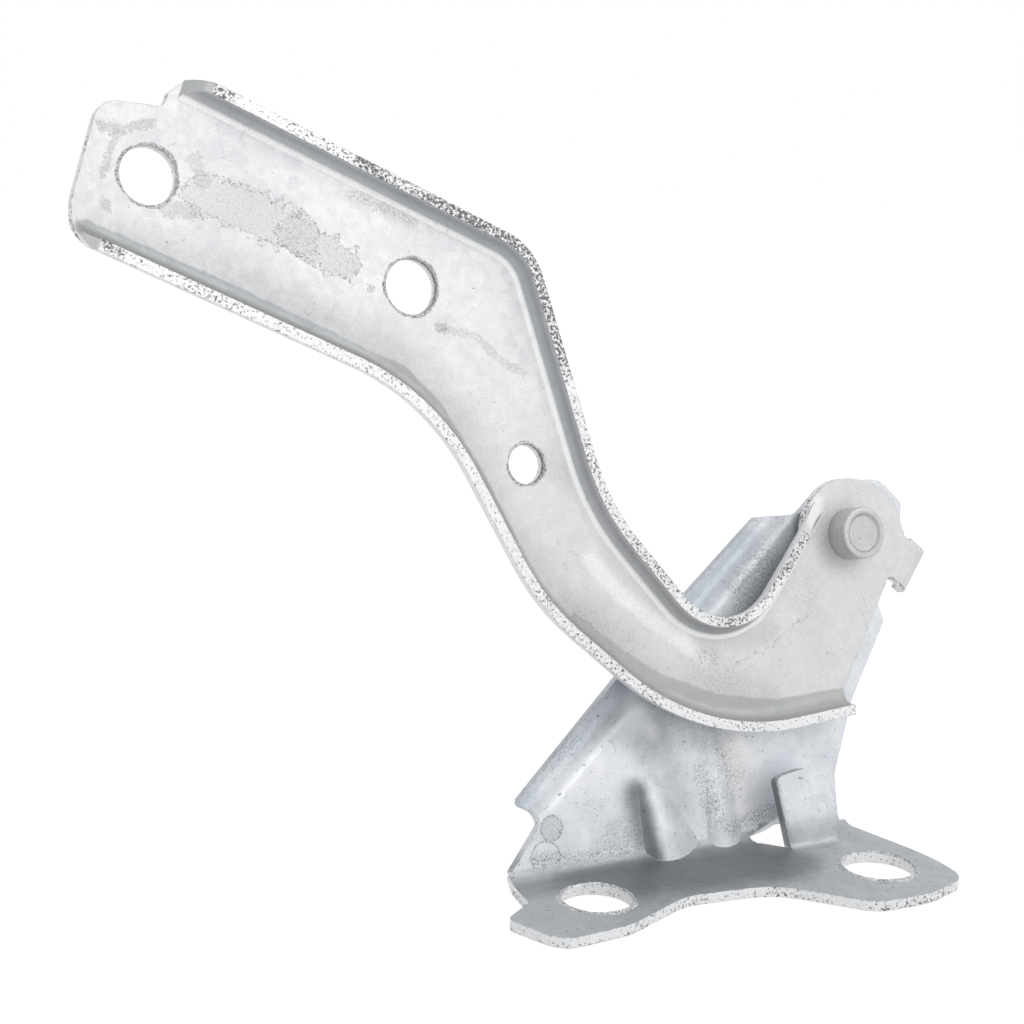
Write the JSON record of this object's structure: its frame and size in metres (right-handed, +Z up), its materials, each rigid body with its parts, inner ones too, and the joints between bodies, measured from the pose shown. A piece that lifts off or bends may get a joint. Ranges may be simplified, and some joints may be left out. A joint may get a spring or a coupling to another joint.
{
  "type": "bonnet hinge",
  "caption": "Sheet steel bonnet hinge: a curved flanged arm swings on a rivet at the head of an upright bracket, whose foot bolts to the vehicle body.",
  "frame": {"origin": "centre of the front hole of the foot, on the underside of the foot", "axes": "+X along the fold of the bracket towards the rear of the vehicle, +Y towards the back of the upright, +Z up from the foot"},
  "size_m": [0.1925, 0.0756, 0.1555],
  "materials": {
    "arm_zinc": "dull zinc",
    "bracket_zinc": "dull zinc",
    "rivet_steel": "satin zinc",
    "bush_steel": "satin",
    "washer_steel": "satin zinc"
  },
  "bodies": {
    "bracket": {"base_bracket": "bracket_zinc", "pivot_rivet": "rivet_steel", "thrust_washer": "washer_steel", "tail_washer": "washer_steel"},
    "arm": {"hinge_arm": "arm_zinc", "pivot_bush": "bush_steel"}
  },
  "joints": [
    {"name": "bonnet_pivot", "type": "hinge", "parent": "bracket", "child": "arm", "pos_m": [0.0784, 0.02965, 0.06359], "axis": [0, 0.9699, -0.2436], "range_deg": [-18.6, 18.5]}
  ]
}
